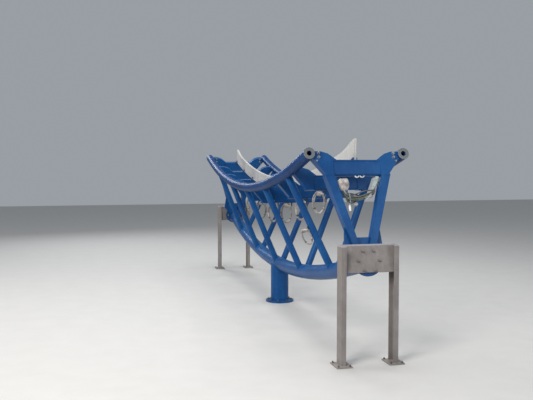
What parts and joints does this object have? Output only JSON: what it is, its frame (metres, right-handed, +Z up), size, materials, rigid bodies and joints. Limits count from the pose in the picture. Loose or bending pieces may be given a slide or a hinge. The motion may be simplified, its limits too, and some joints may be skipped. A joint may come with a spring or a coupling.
{
  "type": "coaster track section on transport stands",
  "caption": "Valley-curved lattice track section with tube rails, crossbeams, V legs, a bottom chord, a row of fins and grey steel stands.",
  "frame": {"origin": "on the ground, midway along the section and on its centre line", "axes": "X across the track, Y along it, Z up"},
  "size_m": [1.342, 8.2426, 2.6431],
  "materials": {
    "frame_paint": "satin blue paint",
    "rail_paint": "satin dark blue paint",
    "fin_metal": "matt off-white",
    "stand_paint": "matt grey primer",
    "cable": "dusty cable sheath and wrapping"
  },
  "bodies": {
    "root": {"left_rail": "rail_paint", "right_rail": "rail_paint", "bottom_chord": "frame_paint", "tie_01": "frame_paint", "tie_02": "frame_paint", "tie_03": "frame_paint", "tie_04": "frame_paint", "tie_05": "frame_paint", "tie_06": "frame_paint", "tie_07": "frame_paint", "tie_08": "frame_paint", "tie_09": "frame_paint", "tie_10": "frame_paint", "left_leg_1": "frame_paint", "left_leg_2": "frame_paint", "left_leg_3": "frame_paint", "left_leg_4": "frame_paint", "left_leg_5": "frame_paint", "left_leg_6": "frame_paint", "left_leg_7": "frame_paint", "right_leg_1": "frame_paint", "right_leg_2": "frame_paint", "right_leg_3": "frame_paint", "right_leg_4": "frame_paint", "right_leg_5": "frame_paint", "right_leg_6": "frame_paint", "right_leg_7": "frame_paint", "near_web_plate": "frame_paint", "far_web_plate": "frame_paint", "middle_pedestal": "frame_paint", "fin_module_1": "fin_metal", "fin_module_2": "fin_metal", "fin_module_3": "fin_metal", "fin_module_4": "fin_metal", "fin_module_5": "fin_metal", "fin_module_6": "fin_metal", "fin_module_7": "fin_metal", "fin_module_8": "fin_metal", "fin_module_9": "fin_metal", "near_stand_plate": "stand_paint", "near_stand_left_post": "stand_paint", "near_stand_right_post": "stand_paint", "far_stand_plate": "stand_paint", "far_stand_left_post": "stand_paint", "far_stand_right_post": "stand_paint", "cable_coil_1": "cable", "cable_coil_2": "cable", "cable_coil_3": "cable", "cable_coil_4": "cable", "cable_coil_5": "cable", "cable_coil_6": "cable", "leg_cable_coil": "cable", "near_cable_bundle": "cable"}
  },
  "joints": []
}
